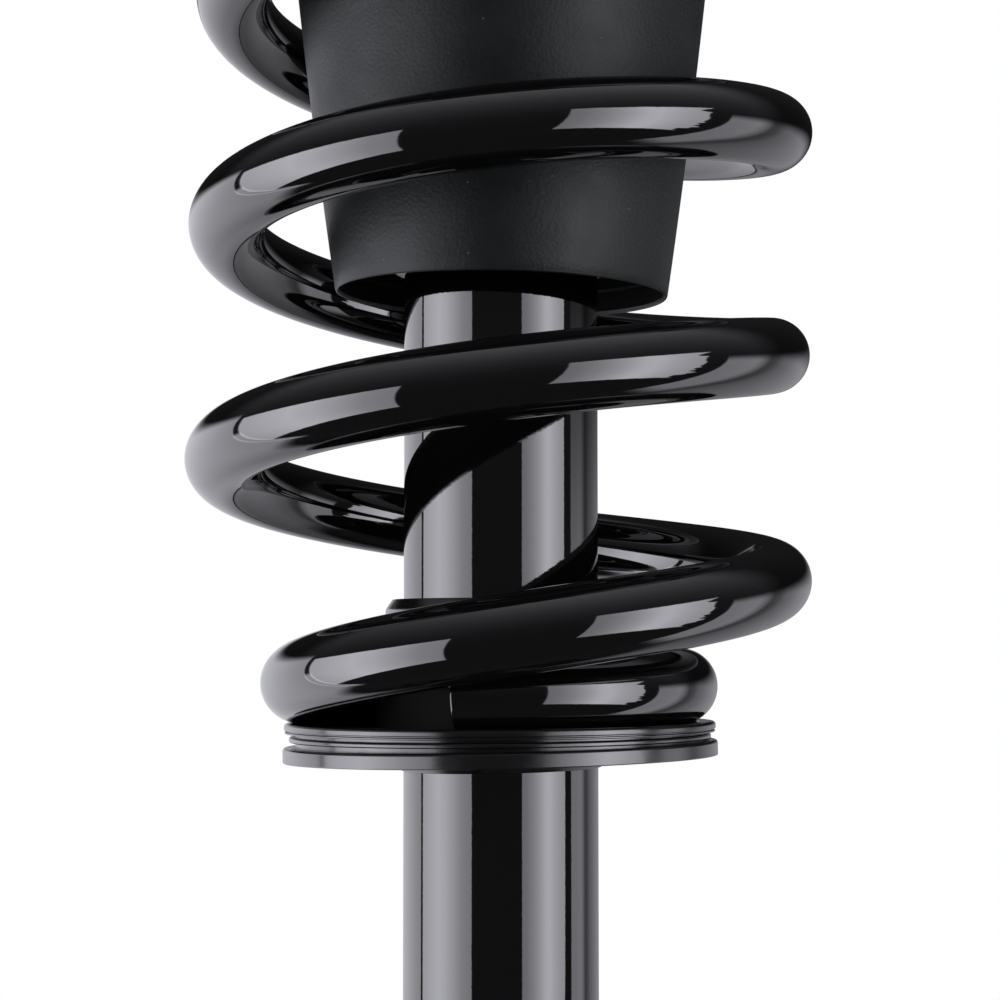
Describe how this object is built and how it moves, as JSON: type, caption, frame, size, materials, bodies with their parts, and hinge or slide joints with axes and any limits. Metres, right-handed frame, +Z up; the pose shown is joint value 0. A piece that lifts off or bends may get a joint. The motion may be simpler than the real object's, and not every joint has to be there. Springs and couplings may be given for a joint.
{
  "type": "strut assembly",
  "caption": "Suspension strut with coil spring on a twin-tube damper, dust boot, swivelling top mount with studs, and a two-bolt knuckle clamp at the foot.",
  "frame": {"origin": "centre of the tower face of the mounting plate, on the strut axis", "axes": "+Z up along the strut axis, out through the studs; +X towards the knuckle ears; +Y towards the link ear"},
  "size_m": [0.159, 0.159, 0.4988],
  "materials": {
    "pressing_paint": "gloss black electrocoat",
    "tube_paint": "high gloss black enamel",
    "spring_paint": "high gloss black powder coat",
    "zinc_steel": "zinc plated",
    "bearing_steel": "polished",
    "spring_steel": "bright rolled",
    "chromed_rod": "hard chrome, superfinished",
    "sintered_iron": "sintered, oiled",
    "drawn_steel": "cold drawn",
    "moulded_rubber": "matte",
    "boot_plastic": "satin, fine spark grain",
    "race_plastic": "moulded glass-filled nylon",
    "cage_plastic": "natural nylon",
    "band_ptfe": "filled PTFE",
    "bush_bronze": "PTFE lined bronze",
    "stop_foam": "microcellular polyurethane"
  },
  "bodies": {
    "top_mount": {"mount_plate": "pressing_paint", "mount_lower_shell": "pressing_paint", "mount_rubber": "moulded_rubber", "mount_sleeve": "zinc_steel", "mount_studs": "zinc_steel", "rod_washer": "zinc_steel", "rod_nut": "zinc_steel", "bearing_upper_race": "race_plastic", "bump_stop_cup": "pressing_paint", "bump_stop": "stop_foam", "piston_rod": "chromed_rod", "rebound_stop": "zinc_steel", "rebound_bumper": "moulded_rubber", "compression_shims": "spring_steel", "piston": "sintered_iron", "piston_band": "band_ptfe", "rebound_shims": "spring_steel", "piston_nut": "zinc_steel"},
    "bearing_cage": {"bearing_cage": "cage_plastic", "bearing_balls": "bearing_steel"},
    "spring_seat": {"bearing_lower_race": "race_plastic", "upper_spring_seat": "pressing_paint", "upper_isolator": "moulded_rubber", "dust_boot": "boot_plastic", "coil_spring": "spring_paint"},
    "damper": {"outer_tube": "tube_paint", "tube_end_cap": "tube_paint", "striker_cap": "zinc_steel", "rod_seal": "moulded_rubber", "rod_guide": "sintered_iron", "guide_bush": "bush_bronze", "inner_cylinder": "drawn_steel", "base_valve": "sintered_iron", "base_valve_shims": "spring_steel", "base_valve_bolt": "zinc_steel", "spring_perch": "pressing_paint", "perch_hoop": "pressing_paint", "lower_isolator": "moulded_rubber", "knuckle_bracket": "pressing_paint", "link_bracket": "pressing_paint", "hose_bracket": "pressing_paint", "weld_beads": "pressing_paint"}
  },
  "joints": [
    {"name": "steer", "type": "hinge", "parent": "top_mount", "child": "spring_seat", "pos_m": [0, 0, 0], "axis": [0, 0, 1], "continuous": true},
    {"name": "cage_spin", "type": "hinge", "parent": "top_mount", "child": "bearing_cage", "pos_m": [0, 0, 0], "axis": [0, 0, 1], "continuous": true},
    {"name": "stroke", "type": "slide", "parent": "spring_seat", "child": "damper", "axis": [0, 0, 1], "range_m": [0, 0.07], "stiffness_N_per_m": 25000, "springref_m": -0.06, "deforming": ["coil_spring", "bump_stop"]}
  ],
  "couplings": [
    {"joint": "cage_spin", "follows": "steer", "ratio": 0.5}
  ]
}
